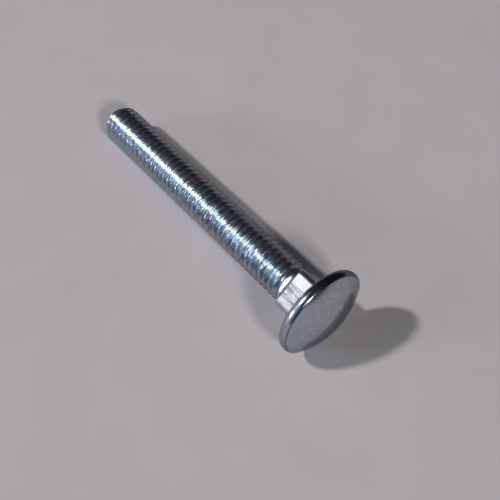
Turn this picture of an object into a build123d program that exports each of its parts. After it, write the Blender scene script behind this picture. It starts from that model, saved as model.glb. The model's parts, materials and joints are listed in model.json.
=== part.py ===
"""Fully threaded carriage bolt: low domed head, square neck and a round shank, forged as one piece.

The bolt lies as it comes to rest, on the rim of its head and on the edge of its tip.
The bolt's own axis runs from the tip (station 0) to the top of the dome, and +X is the head's end.
"""
import os
from math import asin, atan2, cos, hypot, sin, sqrt

from build123d import *

# Head, in millimetres
head_diameter = 22.0
head_height = 5.4
rim_height = 2.35
bulge_radius = 1.5
bulge_height = 1.35

# Square neck and the smooth stretch below it
neck_width = 9.4
neck_corner_radius = 1.35
neck_length = 6.0
neck_fillet = 0.5
shoulder_length = 0.7
blank_diameter = 8.6
blank_length = 1.2
run_out_length = 0.5

# Threaded shank
under_head_length = 72.8
thread_diameter = 9.42
tip_length = 1.8
tip_diameter = 6.9

# Turn of the square neck about the bolt's axis as it lies, in degrees
neck_turn = 31.0

# Radii and stations along the axis that follow from the sizes above
head_radius = head_diameter / 2
thread_radius = thread_diameter / 2
blank_radius = blank_diameter / 2
tip_radius = tip_diameter / 2
neck_start = under_head_length - neck_length
shoulder_start = neck_start - shoulder_length
thread_end = shoulder_start - blank_length - run_out_length
rim_front = under_head_length + rim_height
dome_top = under_head_length + head_height

# The forged rim bulges between two edges: one on the flat underside and one on the dome
bulge_centre = head_radius - bulge_radius
back_edge_radius = bulge_centre + sqrt(bulge_radius**2 - bulge_height**2)
front_edge_radius = bulge_centre + sqrt(bulge_radius**2 - (rim_height - bulge_height) ** 2)
dome_rise = head_height - rim_height
dome_radius = (front_edge_radius**2 + dome_rise**2) / (2 * dome_rise)

# Lie of the axis: the rim's bulge and the edge above the tip's cone both touch z = 0
rim_reach = under_head_length + bulge_height - tip_length
rim_drop = bulge_centre - thread_radius
lie_angle = atan2(rim_drop, rim_reach) + asin(bulge_radius / hypot(rim_reach, rim_drop))
along = Vector(cos(lie_angle), 0, sin(lie_angle))
across = Vector(-sin(lie_angle), 0, cos(lie_angle))

# The box of the lying bolt is centred on the origin in X, with its underside on z = 0
lowest_x = min(-tip_radius * sin(lie_angle), tip_length * cos(lie_angle) - thread_radius * sin(lie_angle))
highest_x = (dome_top - dome_radius) * cos(lie_angle) + dome_radius
tip_height = thread_radius * cos(lie_angle) - tip_length * sin(lie_angle)
tip = Vector(-(lowest_x + highest_x) / 2, 0, tip_height)
bolt_axis = Axis(tip, along)

# Planes of the half sections, X outward and Y along the axis, and of the cross section where the neck starts
shank_plane = Plane(origin=tip, x_dir=across, z_dir=(0, 1, 0))
head_plane = Plane(origin=tip, x_dir=-across, z_dir=(0, -1, 0))
neck_plane = Plane(origin=tip + along * neck_start, x_dir=across, z_dir=along)

os.makedirs("parts", exist_ok=True)

with BuildPart() as carriage_bolt:
    # Shank: coned tip, crest of the thread, run-out and smooth blank
    with BuildSketch(shank_plane):
        with BuildLine():
            Polyline(
                (0, 0),
                (tip_radius, 0),
                (thread_radius, tip_length),
                (thread_radius, thread_end),
                (blank_radius, thread_end + run_out_length),
                (blank_radius, under_head_length),
                (0, under_head_length),
                close=True,
            )
        make_face()
    revolve(axis=bolt_axis)

    # Head: flat underside, bulging rim, and the dome
    with BuildSketch(head_plane):
        with BuildLine():
            back = Line((0, under_head_length), (back_edge_radius, under_head_length))
            bulge_top = (head_radius, under_head_length + bulge_height)
            rim = ThreePointArc(back @ 1, bulge_top, (front_edge_radius, rim_front))
            dome = RadiusArc(rim @ 1, (0, dome_top), -dome_radius)
            Line(dome @ 1, back @ 0)
        make_face()
    revolve(axis=bolt_axis)

    # Square neck with rounded corners, up to the underside of the head
    with BuildSketch(neck_plane):
        RectangleRounded(neck_width, neck_width, neck_corner_radius, rotation=neck_turn)
    extrude(amount=neck_length)

    # Shoulder: the square closes onto the round blank
    with BuildSketch(neck_plane):
        RectangleRounded(neck_width, neck_width, neck_corner_radius, rotation=neck_turn)
    with BuildSketch(neck_plane.offset(-shoulder_length)):
        Circle(blank_radius)
    loft()

    # Small fillet where the neck runs into the underside of the head
    underside = carriage_bolt.faces().filter_by(GeomType.PLANE).sort_by(bolt_axis)[-1]
    fillet(underside.inner_wires()[0].edges(), radius=neck_fillet)

carriage_bolt.part.label = "carriage_bolt"
export_step(carriage_bolt.part, "parts/carriage_bolt.step")
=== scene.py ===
"""Looks of a zinc-plated carriage bolt that lies on a pale floor.

One closed mesh carries the rolled thread, the square neck and the domed head.
A zinc finish, a floor, three lamps, a dim room and the photograph's camera follow.
Lengths are in metres, except where millimetres are named.
"""
import json
import math

import bmesh
import bpy
from mathutils import Matrix, Vector


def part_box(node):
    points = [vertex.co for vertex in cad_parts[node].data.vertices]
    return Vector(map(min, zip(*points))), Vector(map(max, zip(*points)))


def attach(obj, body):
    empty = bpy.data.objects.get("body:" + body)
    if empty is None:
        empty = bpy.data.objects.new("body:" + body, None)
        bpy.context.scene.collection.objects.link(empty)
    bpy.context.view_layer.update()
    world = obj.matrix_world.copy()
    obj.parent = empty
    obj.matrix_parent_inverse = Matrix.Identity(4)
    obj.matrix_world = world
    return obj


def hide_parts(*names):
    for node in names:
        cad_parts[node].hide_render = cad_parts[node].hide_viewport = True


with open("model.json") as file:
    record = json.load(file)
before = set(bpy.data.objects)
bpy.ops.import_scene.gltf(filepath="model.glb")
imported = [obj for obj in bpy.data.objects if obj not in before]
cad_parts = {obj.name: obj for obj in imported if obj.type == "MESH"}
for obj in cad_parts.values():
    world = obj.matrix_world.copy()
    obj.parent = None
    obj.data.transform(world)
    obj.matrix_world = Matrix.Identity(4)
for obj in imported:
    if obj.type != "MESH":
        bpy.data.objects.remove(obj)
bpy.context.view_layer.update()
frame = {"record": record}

MM = 0.001
QUARTER_TURN = math.pi / 2

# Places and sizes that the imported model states
NODE = "carriage_bolt"
mounts = {mount["name"]: mount for mount in frame["record"]["mounts"]}
shank_mount = mounts["threaded_shank"]
thread_radius = shank_mount["dims"]["r_mm"] * MM
thread_length = shank_mount["dims"]["length_mm"] * MM
along = -Vector(shank_mount["axis"]).normalized()
side = Vector((0, -1, 0))
across = side.cross(along)
box_low, box_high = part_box(NODE)
head_radius = (box_high.y - box_low.y) / 2

# Sizes of the bolt's sections
TIP_LENGTH = 1.8 * MM
TIP_RADIUS = 3.45 * MM
TIP_EDGE = 0.12 * MM
RUN_OUT = 0.5 * MM
BLANK_RADIUS = 4.3 * MM
BLANK_LENGTH = 1.2 * MM
SHOULDER_LENGTH = 0.7 * MM
NECK_WIDTH = 9.4 * MM
NECK_CORNER = 1.35 * MM
NECK_FILLET = 0.5 * MM
NECK_TURN = math.radians(31)
HEAD_HEIGHT = 5.4 * MM
RIM_HEIGHT = 2.35 * MM
BULGE_RADIUS = 1.5 * MM
BULGE_HEIGHT = 1.35 * MM

# Rolled thread: right-hand, with a rounded crest and root, as (share of the pitch, share of the depth)
PITCH = 1.5875 * MM
THREAD_DEPTH = 0.613 * PITCH
CREST_TO_ROOT = (
    (0.0, 0.0),
    (0.04, 0.0),
    (0.062, 0.02),
    (0.085, 0.075),
    (0.12, 0.165),
    (0.36, 0.84),
    (0.40, 0.94),
    (0.44, 0.99),
)
ROOT = (0.5, 1.0)
ROOT_TO_CREST = tuple((1 - share, depth) for share, depth in reversed(CREST_TO_ROOT[1:]))
THREAD_PROFILE = (*CREST_TO_ROOT, ROOT, *ROOT_TO_CREST)

# The thread fades out over its last stretch, which reaches a little way onto the smooth blank
FADE_LENGTH = 1.3 * MM
FADE_OVER = 0.3 * MM

# Shoulder: it swells to a nearly level ring, then steps up to the square. These are shares, not lengths
SWELL_END = 0.12
STEP_START = 0.47
RING_SQUARENESS = 0.21

# Stations along the axis, from the middle of the tip
tip = Vector(shank_mount["pos_m"]) - along * (thread_length / 2 + TIP_LENGTH)
underside = (Vector(mounts["head_underside"]["pos_m"]) - tip).dot(along)
thread_end = TIP_LENGTH + thread_length
blank_start = thread_end + RUN_OUT
ring_start = blank_start + FADE_OVER
shoulder_start = blank_start + BLANK_LENGTH
neck_start = shoulder_start + SHOULDER_LENGTH
neck_end = underside - NECK_FILLET
dome_top = underside + HEAD_HEIGHT

# The rim's bulge runs from its edge on the flat underside to its edge on the dome
bulge_centre = head_radius - BULGE_RADIUS
back_turn = -math.asin(BULGE_HEIGHT / BULGE_RADIUS)
front_turn = math.asin((RIM_HEIGHT - BULGE_HEIGHT) / BULGE_RADIUS)
back_edge = bulge_centre + BULGE_RADIUS * math.cos(back_turn)
front_edge = bulge_centre + BULGE_RADIUS * math.cos(front_turn)

# Columns around the axis: on the neck, each quarter has one flat and one rounded corner
FLAT_STEPS = 12
CORNER_STEPS = 12
QUARTER_STEPS = FLAT_STEPS + CORNER_STEPS
COLUMNS = 4 * QUARTER_STEPS

# Rows along the axis. Rows that lie close beside an edge keep it crisp
TIP_FACE_SHARES = (0.4, 0.75)
TIP_EDGE_SHARES = (0.0, 0.35, 0.7, 1.0)
SHOULDER_ROWS = 24
NECK_ROWS = 8
FILLET_ROWS = 6
UNDERSIDE_ROWS = 4
RIM_ROWS = 24
DOME_ROWS = 26
EDGE_GAP = 0.05 * MM
WELD_DISTANCE = 0.0005 * MM

# Colours of the plating. A list of hues goes from one end of a noise to the other
GRAZING_TINT = (0.55, 0.56, 0.58)
PLATE_HUES = (
    (0.32, (0.50, 0.51, 0.61)),
    (0.44, (0.53, 0.54, 0.59)),
    (0.55, (0.48, 0.56, 0.59)),
    (0.68, (0.56, 0.57, 0.58)),
)
THREAD_HUES = (
    (0.36, (0.45, 0.475, 0.61)),
    (0.45, (0.43, 0.475, 0.56)),
    (0.55, (0.41, 0.495, 0.545)),
    (0.64, (0.39, 0.515, 0.565)),
)
CLOUD_COLOUR = (0.30, 0.31, 0.33)
# Painted shade on the thread's far side, which darkens its grazing reflection
PAINTED_SHADE_FAR_SIDE_COLOUR = (0.15, 0.145, 0.14)
# Painted shade on one stretch of the rim, standing in for a dark reflection there
PAINTED_SHADE_RIM_COLOUR = (0.11, 0.115, 0.12)
# Painted shade: a dark line along the crease between the rim and the dome
PAINTED_CREASE_SHADE_COLOUR = (0.16, 0.165, 0.17)
PIT_COLOUR = (0.26, 0.27, 0.29)
# Dark rolling marks, which also cut the highlight into painted glints, since they gather where the lamps'
# highlights fall
ROLLING_MARK_AND_GLINT_GAP_COLOUR = (0.06, 0.075, 0.095)
# Painted shade on the neck's flats, which dims their highlight, most of all on the flat that faces the key
# lamp
PAINTED_SHADE_NECK_FLAT_COLOUR = (0.16, 0.16, 0.165)
SCORE_COLOUR = (0.03, 0.03, 0.032)

# Directions across the bolt, on its own axes. Toward the first two, painted shade darkens the thread's far
# side and one stretch of the rim. Toward the third, the dark rolling marks gather where the lamps' highlights
# fall and cut them into painted glints
THREAD_SHADE_SIDE = (0.357, -0.934, 0)
RIM_SHADE_SIDE = (0.64, -0.77, 0)
GLINT_SIDE = (0.80, 0.60, 0)

# Relief that is too fine for the mesh, and the normal's largest turn about the axis, in radians
WAVE_DEPTH = 0.06 * MM
ROLLED_DEPTH = 0.02 * MM
SCORE_DEPTH = 0.11 * MM
GRAIN_DEPTH = 0.02 * MM
GRAIN_STRENGTH = 0.08
LARGEST_TWIST = 0.105

# Floor, lamps and room
FLOOR_HALF_WIDTH = 3.0
FLOOR_ROUGHNESS = 0.9
FLOOR_HUES = (
    (0.3, (0.332, 0.303, 0.309)),
    (0.7, (0.352, 0.322, 0.329)),
)
LAMP_DISTANCE = 2.4
WHITE = (1, 1, 1)
COOL = (0.80, 0.89, 1.0)
GLOW_DIRECTION = (-0.5, -0.85, 0.2)
ROOM_STOPS = (
    (0.5, (0.025, 0.025, 0.026)),
    (0.97, (0.40, 0.53, 0.70)),
)

# The photograph's camera, with places in millimetres
SENSOR_WIDTH = 36
LENS = 66.62
CAMERA_PLACE = (92.91, -68.12, 186.06)
CAMERA_AIM = (11.133, 0.777, 4.94)


def smooth(share):
    """Ease from 0 to 1 with no slope at either end."""
    share = min(max(share, 0.0), 1.0)
    return share * share * (3 - 2 * share)


def mix(first, second, share):
    return first + (second - first) * share


def round_point(column, radius):
    """Point of a circle, turned so that the middle of a flat meets its column."""
    angle = NECK_TURN + (column - FLAT_STEPS / 2) * 2 * math.pi / COLUMNS
    return Vector((math.cos(angle), math.sin(angle))) * radius


def square_point(column, grow):
    """Point of the neck's rounded square, moved outward by grow."""
    quarter, step = divmod(column, QUARTER_STEPS)
    half_width = NECK_WIDTH / 2
    half_flat = half_width - NECK_CORNER
    if step <= FLAT_STEPS:
        point = Vector((half_width + grow, mix(-half_flat, half_flat, step / FLAT_STEPS)))
    else:
        angle = (step - FLAT_STEPS) / CORNER_STEPS * QUARTER_TURN
        reach = NECK_CORNER + grow
        point = Vector((half_flat + reach * math.cos(angle), half_flat + reach * math.sin(angle)))
    return Matrix.Rotation(NECK_TURN + quarter * QUARTER_TURN, 2) @ point


def round_outline(radius):
    return [round_point(column, radius) for column in range(COLUMNS)]


def square_outline(grow=0.0):
    return [square_point(column, grow) for column in range(COLUMNS)]


def between(first, second, share):
    """Outline part of the way from one to another."""
    return [point.lerp(other, share) for point, other in zip(first, second)]


class Surface:
    """Rows of points around the axis, joined into quads."""

    def __init__(self):
        self.mesh = bmesh.new()
        self.last_row = None

    def start_afresh(self):
        """Leave the next row unjoined. Welding closes the seam later."""
        self.last_row = None

    def add_row(self, points, stations, closed=True):
        row = [self.mesh.verts.new((*point, station)) for point, station in zip(points, stations)]
        if self.last_row:
            self.join(self.last_row, row, closed)
        self.last_row = row

    def join(self, lower, upper, closed):
        count = len(lower)
        for column in range(count if closed else count - 1):
            follow = (column + 1) % count
            self.mesh.faces.new((lower[column], lower[follow], upper[follow], upper[column]))

    def add_outline(self, outline, station):
        self.add_row(outline, [station] * COLUMNS)

    def add_ring(self, radius, station):
        self.add_outline(round_outline(radius), station)

    def cap(self, station, outward):
        """Close the last row with a fan around the axis."""
        centre = self.mesh.verts.new((0, 0, station))
        count = len(self.last_row)
        for column in range(count):
            pair = (self.last_row[column], self.last_row[(column + 1) % count])
            self.mesh.faces.new((*pair, centre) if outward else (*reversed(pair), centre))

    def to_mesh(self, name):
        """Weld the seams and hand the surface over as one smooth mesh."""
        bmesh.ops.remove_doubles(self.mesh, verts=self.mesh.verts, dist=WELD_DISTANCE)
        bmesh.ops.recalc_face_normals(self.mesh, faces=self.mesh.faces)
        data = bpy.data.meshes.new(name)
        self.mesh.to_mesh(data)
        self.mesh.free()
        for polygon in data.polygons:
            polygon.use_smooth = True
        return data


def add_tip(surface):
    """Flat end of the shank with a small round edge."""
    inner_share, outer_share = TIP_FACE_SHARES
    surface.add_ring(TIP_RADIUS * inner_share, 0)
    surface.cap(0, outward=False)
    surface.add_ring(TIP_RADIUS * outer_share, 0)
    for share in TIP_EDGE_SHARES:
        turn = share * QUARTER_TURN
        surface.add_ring(TIP_RADIUS - TIP_EDGE * (1 - math.sin(turn)), TIP_EDGE * (1 - math.cos(turn)))


def thread_surface(station, depth_share):
    """Radius of the threaded shank: the profile, cut by the tip's cone and fading into the smooth blank."""
    radius = thread_radius - THREAD_DEPTH * depth_share
    fade = smooth((ring_start - station) / FADE_LENGTH)
    radius = mix(BLANK_RADIUS, radius, fade)
    cone_share = (station - TIP_EDGE) / (TIP_LENGTH - TIP_EDGE)
    return min(radius, mix(TIP_RADIUS, thread_radius, cone_share))


def add_thread_row(surface, pitches, depth_share):
    """One turn of a helix. It is held back at both ends, so that each end closes on a plain ring."""
    points = []
    stations = []
    for column in range(COLUMNS + 1):
        station = TIP_EDGE + PITCH * (pitches + column / COLUMNS)
        station = min(max(station, TIP_EDGE), ring_start)
        points.append(round_point(column, thread_surface(station, depth_share)))
        stations.append(station)
    surface.add_row(points, stations, closed=False)


def add_thread(surface):
    """Helical rows along the thread."""
    turns = math.ceil((ring_start - TIP_EDGE) / PITCH) + 1
    surface.start_afresh()
    for turn in range(-1, turns):
        for share, depth_share in THREAD_PROFILE:
            add_thread_row(surface, turn + share, depth_share)


def shoulder_squareness(share):
    """How square the shoulder is along its length, from the round blank to the neck."""
    swell = smooth(share / SWELL_END)
    step = smooth((share - STEP_START) / (1 - STEP_START))
    return RING_SQUARENESS * swell + (1 - RING_SQUARENESS) * step


def add_shoulder(surface):
    """Smooth blank, and the shoulder that closes the square onto it."""
    surface.start_afresh()
    for row in range(SHOULDER_ROWS + 1):
        share = row / SHOULDER_ROWS
        outline = between(round_outline(BLANK_RADIUS), square_outline(), shoulder_squareness(share))
        surface.add_outline(outline, mix(ring_start, neck_start, share))


def add_neck(surface):
    """Square neck, and the fillet that runs into the underside of the head."""
    for row in range(1, NECK_ROWS + 1):
        surface.add_outline(square_outline(), mix(neck_start, neck_end, row / NECK_ROWS))
    for row in range(1, FILLET_ROWS + 1):
        turn = row / FILLET_ROWS * QUARTER_TURN
        grow = NECK_FILLET * (1 - math.cos(turn))
        surface.add_outline(square_outline(grow), neck_end + NECK_FILLET * math.sin(turn))


def add_rim(surface):
    """Flat underside of the head, and the bulging rim."""
    for row in range(1, UNDERSIDE_ROWS + 1):
        outer = round_outline(back_edge - EDGE_GAP)
        surface.add_outline(between(square_outline(NECK_FILLET), outer, row / UNDERSIDE_ROWS), underside)
    bulge_station = underside + BULGE_HEIGHT
    for row in range(RIM_ROWS + 1):
        turn = mix(back_turn, front_turn, row / RIM_ROWS)
        radius = bulge_centre + BULGE_RADIUS * math.cos(turn)
        surface.add_ring(radius, bulge_station + BULGE_RADIUS * math.sin(turn))


def add_dome(surface):
    """Part of a sphere from the rim's front edge to the top of the head."""
    rise = HEAD_HEIGHT - RIM_HEIGHT
    radius = (front_edge**2 + rise**2) / (2 * rise)
    centre = dome_top - radius
    first_turn = math.acos(front_edge / radius) + EDGE_GAP / radius
    for row in range(DOME_ROWS):
        turn = mix(first_turn, QUARTER_TURN, row / DOME_ROWS)
        surface.add_ring(radius * math.cos(turn), centre + radius * math.sin(turn))
    surface.cap(dome_top, outward=True)


def add_to_scene(name, data):
    added = bpy.data.objects.new(name, data)
    bpy.context.scene.collection.objects.link(added)
    return added


def build_bolt():
    """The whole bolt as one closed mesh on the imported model's axis. It keeps its own axes for the finish."""
    surface = Surface()
    for add_section in (add_tip, add_thread, add_shoulder, add_neck, add_rim, add_dome):
        add_section(surface)
    data = surface.to_mesh("bolt")
    bolt_space = data.attributes.new("bolt_space", "FLOAT_VECTOR", "POINT")
    for vertex, local in zip(data.vertices, bolt_space.data):
        local.vector = vertex.co / MM
    axes = Matrix((across, side, along)).transposed().to_4x4()
    data.transform(Matrix.Translation(tip) @ axes)
    bolt = add_to_scene("bolt", data)
    even = bolt.modifiers.new("even_normals", "WEIGHTED_NORMAL")
    even.keep_sharp = True
    return bolt


def is_socket(value):
    return isinstance(value, bpy.types.NodeSocket)


def set_stops(ramp, stops):
    """Give a new colour ramp its stops. It has two, and the others start in its middle."""
    middle = 0.5
    while len(ramp.elements) < len(stops):
        ramp.elements.new(middle)
    for element, (position, colour) in zip(ramp.elements, stops):
        element.position = position
        element.color = (*colour, 1)


class Finish:
    """One material, with short ways to add and join its nodes. Its space holds the textures' coordinates."""

    def __init__(self, name):
        self.material = bpy.data.materials.new(name)
        self.material.use_nodes = True
        self.nodes = self.material.node_tree.nodes
        self.space = None

    def feed(self, entry, value):
        """Give an input another node's output, or a constant."""
        if is_socket(value):
            self.material.node_tree.links.new(value, entry)
        else:
            entry.default_value = value

    def set_shader(self, name, value):
        self.feed(self.nodes["Principled BSDF"].inputs[name], value)

    def add(self, kind, feeds, operation=None):
        """New node with what its inputs are fed. Its outputs come back."""
        node = self.nodes.new(kind)
        if operation:
            node.operation = operation
        for name, value in feeds.items():
            self.feed(node.inputs[name], value)
        return node.outputs

    def noise(self, scale, detail):
        """Noise that is scaled per axis."""
        stretched = self.add("ShaderNodeMapping", {"Vector": self.space, "Scale": scale})["Vector"]
        return self.add("ShaderNodeTexNoise", {"Vector": stretched, "Scale": 1.0, "Detail": detail})["Fac"]

    def specks(self, scale):
        """Distance from the nearest of some scattered points."""
        return self.add("ShaderNodeTexVoronoi", {"Vector": self.space, "Scale": scale})["Distance"]

    def remap(self, value, source, target):
        """Move a value from one range to another, and hold it at the ends."""
        feeds = {
            "Value": value,
            "From Min": source[0],
            "From Max": source[1],
            "To Min": target[0],
            "To Max": target[1],
        }
        return self.add("ShaderNodeMapRange", feeds)["Result"]

    def maths(self, operation, *values):
        return self.add("ShaderNodeMath", dict(enumerate(values)), operation)["Value"]

    def total(self, first, *others):
        for other in others:
            first = self.maths("ADD", first, other)
        return first

    def product(self, first, *others):
        for other in others:
            first = self.maths("MULTIPLY", first, other)
        return first

    def vectors(self, operation, *values):
        return self.add("ShaderNodeVectorMath", dict(enumerate(values)), operation)["Vector"]

    def reach(self, direction):
        """How far a point lies from the axis in one direction."""
        return self.add("ShaderNodeVectorMath", {0: self.space, 1: direction}, "DOT_PRODUCT")["Value"]

    def hues(self, value, stops):
        node = self.nodes.new("ShaderNodeValToRGB")
        set_stops(node.color_ramp, stops)
        self.feed(node.inputs["Fac"], value)
        return node.outputs["Color"]

    def blend(self, share, first, second):
        """Colour that goes from the first, a socket, to the second, a socket or a plain colour."""
        if not is_socket(second):
            second = (*second, 1)
        return self.add("ShaderNodeMixRGB", {"Fac": share, "Color1": first, "Color2": second})["Color"]

    def bump(self, height, depth, strength=1.0, normal=None):
        feeds = {"Height": height, "Distance": depth, "Strength": strength}
        if normal:
            feeds["Normal"] = normal
        return self.add("ShaderNodeBump", feeds)["Normal"]

    def tilt(self, normal, amount):
        """Turn the normal about the bolt's axis by a small amount."""
        sideways = self.vectors("CROSS_PRODUCT", normal, along)
        shift = self.add("ShaderNodeVectorMath", {0: sideways, "Scale": amount}, "SCALE")["Vector"]
        return self.vectors("NORMALIZE", self.vectors("ADD", normal, shift))


class ZincPlate(Finish):
    """Bright zinc plate, with its lengths in millimetres on the bolt's own axes and stations along Z."""

    neck_from = neck_start / MM
    flat_reach = NECK_WIDTH / 2 / MM
    head_from = underside / MM
    rim_to = head_from + RIM_HEIGHT / MM

    def __init__(self):
        super().__init__("zinc_plate")
        attribute = self.nodes.new("ShaderNodeAttribute")
        attribute.attribute_name = "bolt_space"
        self.space = attribute.outputs["Vector"]
        self.station = self.add("ShaderNodeSeparateXYZ", {"Vector": self.space})["Z"]
        self.find_thread()
        self.find_neck()
        self.set_shader("Metallic", 1.0)
        self.set_shader("Specular Tint", (*GRAZING_TINT, 1))
        self.set_shader("Base Color", self.colour())
        self.set_shader("Roughness", self.roughness())
        self.set_shader("Normal", self.relief())

    def find_thread(self):
        """Shares that say where the thread is, and where its rolling marks show most."""
        thread_to = ring_start / MM
        self.on_thread = self.remap(self.station, (thread_to - 0.2, thread_to + 0.1), (1, 0))
        near_neck = self.remap(self.station, (8, 42), (0.12, 1))
        self.on_worked_thread = self.product(near_neck, self.on_thread)

    def find_neck(self):
        """Shares that say where the neck's flats are, and where draw marks cross the scored one."""
        turn_cos = math.cos(NECK_TURN)
        turn_sin = math.sin(NECK_TURN)
        outward = self.reach((turn_cos, turn_sin, 0))
        sideways = self.reach((-turn_sin, turn_cos, 0))
        farthest = self.maths("MAXIMUM", self.maths("ABSOLUTE", outward), self.maths("ABSOLUTE", sideways))
        on_face = self.remap(farthest, (self.flat_reach - 0.15, self.flat_reach - 0.02), (0, 1))
        past_shoulder = self.remap(self.station, (self.neck_from - 0.15, self.neck_from + 0.05), (0, 1))
        before_head = self.remap(self.station, (self.head_from - 0.6, self.head_from - 0.3), (1, 0))
        # Each flat's weight: full on the scored flat that faces the key lamp, a third on the others; it sets
        # the painted shade and the roughness a flat takes
        scored_face = self.remap(outward, (self.flat_reach - 0.7, self.flat_reach - 0.1), (0.35, 1))
        self.on_flat = self.product(on_face, past_shoulder, before_head, scored_face)
        strip_start = self.remap(sideways, (-1.7, -0.7), (0.2, 1))
        strip_end = self.remap(sideways, (2.0, 2.9), (1, 0.35))
        self.scored_strip = self.product(strip_start, strip_end, self.on_flat)
        self.draw_marks = self.noise((3.2, 3.2, 0.2), detail=1.0)

    def colour(self):
        """The plating's colour, in layers, some of them painted shade and painted glints."""
        colour = self.plate_colour()
        layers = (self.tint_and_shade_thread, self.paint_rim_shade, self.add_pits, self.add_rolling_marks_and_glints, self.shade_and_score_neck)
        for layer in layers:
            colour = layer(colour)
        return colour

    def plate_colour(self):
        """Bluish metal with faint colour shifts and duller clouds."""
        shifts = self.noise((0.28, 0.28, 0.42), detail=4.0)
        clouds = self.remap(self.noise((0.9, 0.9, 0.9), detail=6.0), (0.42, 0.66), (0, 0.32))
        return self.blend(clouds, self.hues(shifts, PLATE_HUES), CLOUD_COLOUR)

    def tint_and_shade_thread(self, colour):
        """Stronger colour shifts on the thread, and painted shade that darkens its far side."""
        shifts = self.noise((0.6, 0.6, 1.0), detail=2.0)
        colour = self.blend(self.product(self.on_thread, 0.75), colour, self.hues(shifts, THREAD_HUES))
        # Painted shade: the far side of the thread is darkened, standing in for a darker reflection there
        thread_shade_share = self.remap(self.reach(THREAD_SHADE_SIDE), (2.5, 3.6), (0, 0.5))
        return self.blend(self.product(thread_shade_share, self.on_thread), colour, PAINTED_SHADE_FAR_SIDE_COLOUR)

    def paint_rim_shade(self, colour):
        """Painted shade on one stretch of the rim, and a thin painted line of shade along its front edge,
        where it meets the dome.
        """
        past_back = self.remap(self.station, (self.head_from + 0.02, self.head_from + 0.1), (0, 1))
        before_front = self.remap(self.station, (self.rim_to - 0.06, self.rim_to), (1, 0))
        # Painted shade: one stretch of the rim is darkened, as a reflection of a dark room would darken it
        rim_shade_share = self.remap(self.reach(RIM_SHADE_SIDE), (3.0, 8.0), (0, 0.8))
        colour = self.blend(self.product(past_back, before_front, rim_shade_share), colour, PAINTED_SHADE_RIM_COLOUR)
        # Painted shade in the crease where the rim's front edge meets the dome
        crease_shade_start = self.remap(self.station, (self.rim_to - 0.22, self.rim_to - 0.10), (0, 1))
        crease_shade_end = self.remap(self.station, (self.rim_to + 0.06, self.rim_to + 0.16), (0.75, 0))
        return self.blend(self.product(crease_shade_start, crease_shade_end), colour, PAINTED_CREASE_SHADE_COLOUR)

    def add_pits(self, colour):
        """Small scattered dark pits."""
        pits = self.remap(self.specks(0.45), (0.04, 0.18), (0.55, 0))
        return self.blend(pits, colour, PIT_COLOUR)

    def add_rolling_marks_and_glints(self, colour):
        """Dark rolling marks around the thread, near the neck. They are kept mostly to the side where the
        lamps' highlights fall, so they also cut the highlight into painted glints.
        """
        lines = self.remap(self.noise((0.5, 0.5, 5.4), detail=0.0), (0.42, 0.55), (0.75, 0))
        # The marks gather on the side where the lamps' highlights fall, which makes painted glints
        glint_side_share = self.remap(self.reach(GLINT_SIDE), (2.6, 4.2), (0.3, 1))
        share = self.product(lines, glint_side_share, self.on_worked_thread)
        return self.blend(share, colour, ROLLING_MARK_AND_GLINT_GAP_COLOUR)

    def shade_and_score_neck(self, colour):
        """Darker flats on the neck, painted shade that dims their highlight, most of all on the scored one,
        which faces the key lamp; with dark draw marks along it.
        """
        # Painted shade: the flats are darkened to dim the key lamp's highlight on them
        colour = self.blend(self.product(self.on_flat, 0.9), colour, PAINTED_SHADE_NECK_FLAT_COLOUR)
        scores = self.remap(self.draw_marks, (0.40, 0.56), (0.8, 0))
        return self.blend(self.product(scores, self.scored_strip), colour, SCORE_COLOUR)

    def roughness(self):
        """Smoother toward the tip and on the head, rougher on the neck's flats, with faint clouds."""
        shank = self.remap(self.station, (5, 50), (0.23, 0.305))
        flats = self.product(self.on_flat, 0.14)
        head = self.remap(self.station, (self.head_from - 0.5, self.head_from - 0.1), (0, -0.12))
        clouds = self.remap(self.noise((1.2, 1.2, 1.2), detail=6.0), (0.3, 0.7), (-0.03, 0.03))
        return self.total(shank, flats, head, clouds)

    def relief(self):
        """Waves toward the tip, rolling marks toward the neck, draw marks on the neck, and a faint grain."""
        near_tip = self.remap(self.station, (6, 44), (1, 0))
        waves = self.noise((0.8, 0.8, 3.2), detail=2.0)
        normal = self.bump(self.product(waves, near_tip), WAVE_DEPTH)
        rolled = self.noise((1.5, 1.5, 2.4), detail=1.0)
        normal = self.bump(self.product(rolled, self.on_worked_thread), ROLLED_DEPTH, normal=normal)
        turns = self.noise((0.7, 0.7, 3.8), detail=1.0)
        twist = self.remap(turns, (0.3, 0.7), (-LARGEST_TWIST, LARGEST_TWIST))
        normal = self.tilt(normal, self.product(twist, self.on_worked_thread))
        normal = self.bump(self.product(self.draw_marks, self.scored_strip), SCORE_DEPTH, normal=normal)
        grain = self.noise((8.0, 8.0, 8.0), detail=4.0)
        return self.bump(grain, GRAIN_DEPTH, GRAIN_STRENGTH, normal)


def floor_finish():
    """Pale matt board with a faint mottle."""
    finish = Finish("floor")
    finish.space = finish.nodes.new("ShaderNodeTexCoord").outputs["Object"]
    mottle = finish.noise((60, 60, 60), detail=5.0)
    finish.set_shader("Base Color", finish.hues(mottle, FLOOR_HUES))
    finish.set_shader("Roughness", FLOOR_ROUGHNESS)
    return finish.material


def add_floor():
    half = FLOOR_HALF_WIDTH
    data = bpy.data.meshes.new("floor")
    corners = [(-half, -half, 0), (half, -half, 0), (half, half, 0), (-half, half, 0)]
    data.from_pydata(corners, [], [(0, 1, 2, 3)])
    data.materials.append(floor_finish())
    floor = add_to_scene("floor", data)


def facing(direction):
    """Turn that points a lamp or a camera in a direction."""
    return direction.to_track_quat("-Z", "Y").to_euler()


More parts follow.
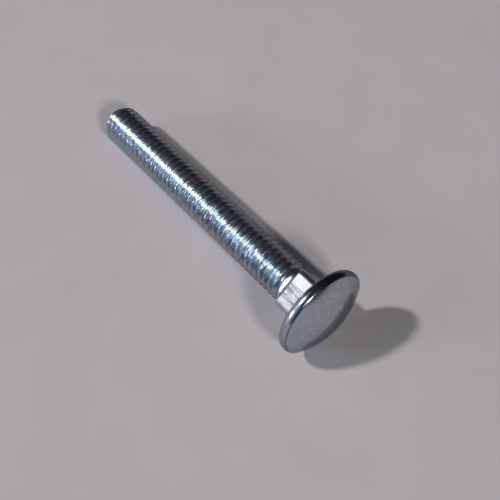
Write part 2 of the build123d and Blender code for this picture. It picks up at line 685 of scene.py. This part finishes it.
def add_softbox(name, direction, size, level, colour=WHITE):
    """Area lamp that faces the bolt. Level is its share of a plainly lit floor's brightness."""
    toward = Vector(direction).normalized()
    data = bpy.data.lights.new(name, "AREA")
    data.shape = "SQUARE"
    data.size = size
    data.color = colour
    data.energy = level * (math.pi * LAMP_DISTANCE) ** 2 / toward.z
    lamp = add_to_scene(name, data)
    lamp.location = toward * LAMP_DISTANCE
    lamp.rotation_euler = facing(-toward)


def add_lights():
    """Two main lamps, as the head's two shadows tell, and a faint cool one low beside the shank."""
    add_softbox("key", (-0.62, -0.64, 1.0), size=0.16, level=0.60)
    add_softbox("fill", (1.17, -0.30, 1.0), size=0.36, level=0.36)
    add_softbox("cool", (-0.49, -0.83, 0.27), size=0.40, level=0.085, colour=COOL)


def add_world():
    """Dim room with a soft cool glow low on the near side of the shank."""
    world = bpy.data.worlds.new("room")
    bpy.context.scene.world = world
    world.use_nodes = True
    nodes = world.node_tree.nodes
    links = world.node_tree.links
    place = nodes.new("ShaderNodeTexCoord")
    lean = nodes.new("ShaderNodeVectorMath")
    lean.operation = "DOT_PRODUCT"
    lean.inputs[1].default_value = Vector(GLOW_DIRECTION).normalized()
    links.new(place.outputs["Generated"], lean.inputs[0])
    shade = nodes.new("ShaderNodeValToRGB")
    set_stops(shade.color_ramp, ROOM_STOPS)
    links.new(lean.outputs["Value"], shade.inputs["Fac"])
    links.new(shade.outputs["Color"], nodes["Background"].inputs["Color"])


def add_camera():
    """View of the photograph: the camera's place and aim, and a lens for its 500 pixel frame."""
    data = bpy.data.cameras.new("camera")
    data.sensor_width = SENSOR_WIDTH
    data.lens = LENS
    camera = add_to_scene("camera", data)
    camera.location = Vector(CAMERA_PLACE) * MM
    camera.rotation_euler = facing(Vector(CAMERA_AIM) * MM - camera.location)
    bpy.context.scene.camera = camera


bolt = build_bolt()
bolt.data.materials.append(ZincPlate().material)
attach(bolt, "root")
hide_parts(NODE)
add_floor()
add_lights()
add_world()
add_camera()
bpy.context.scene.view_settings.view_transform = "Standard"
